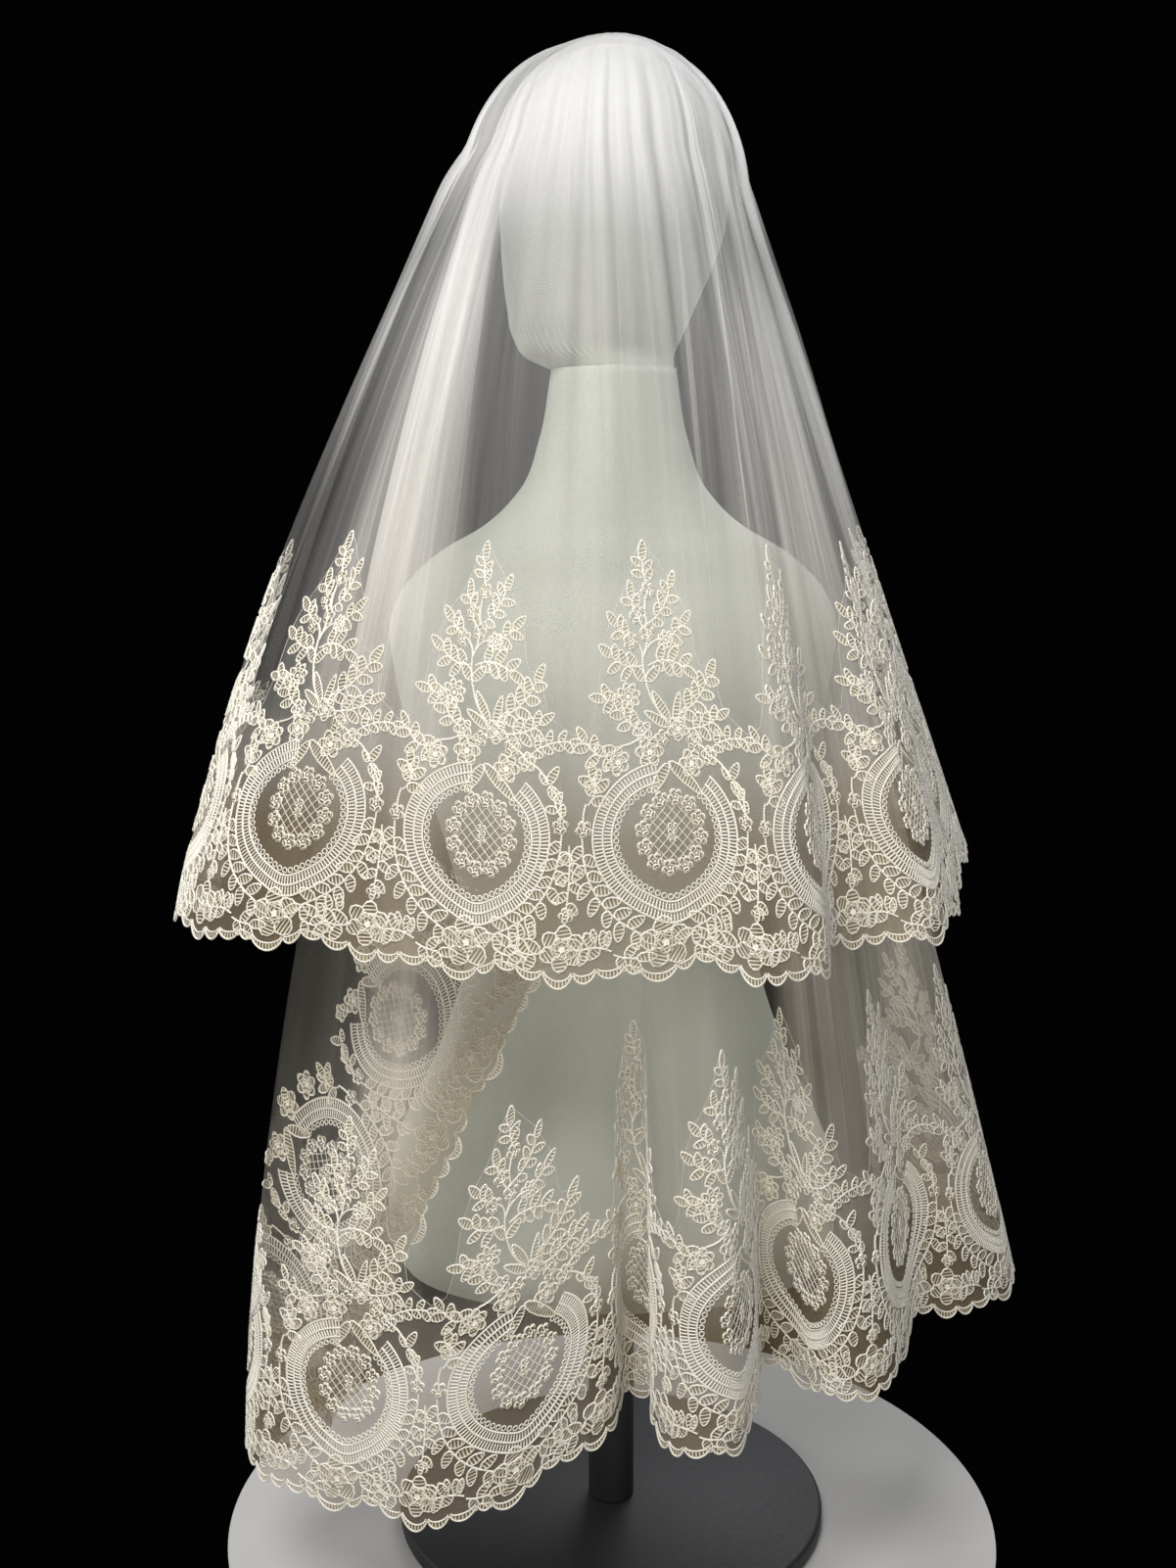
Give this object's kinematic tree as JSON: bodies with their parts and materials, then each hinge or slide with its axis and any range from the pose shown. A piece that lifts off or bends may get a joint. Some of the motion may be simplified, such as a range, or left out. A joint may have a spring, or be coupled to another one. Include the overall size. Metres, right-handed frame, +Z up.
{
  "type": "bridal veil on dress form",
  "caption": "Gathered veil in a short and a long tier with deep scalloped lace borders, draped from a comb over a plain limbless dress form on a round stand.",
  "frame": {"origin": "middle of the underside of the form's round base, on the floor under the form's axis", "axes": "+Z up along the form; -Y is the side that the back of the head and the veil face; +X to the right seen from behind the veil"},
  "size_m": [0.5762, 0.3693, 1.0027],
  "materials": {
    "white_cover": "soft white knitted cover, matt",
    "comb_metal": "plain bright metal",
    "stand_paint": "black paint, satin",
    "ivory_net": "soft ivory tulle, see-through",
    "ivory_lace": "corded ivory lace on a net ground",
    "ivory_satin": "ivory satin binding"
  },
  "bodies": {
    "root": {"form_torso": "white_cover", "form_head": "white_cover", "form_base": "stand_paint", "form_pole": "stand_paint", "lower_tier_net": "ivory_net", "lower_tier_lace": "ivory_lace", "upper_tier_net": "ivory_net", "upper_tier_lace": "ivory_lace", "comb": "comb_metal", "gather_band": "ivory_satin"}
  },
  "joints": []
}
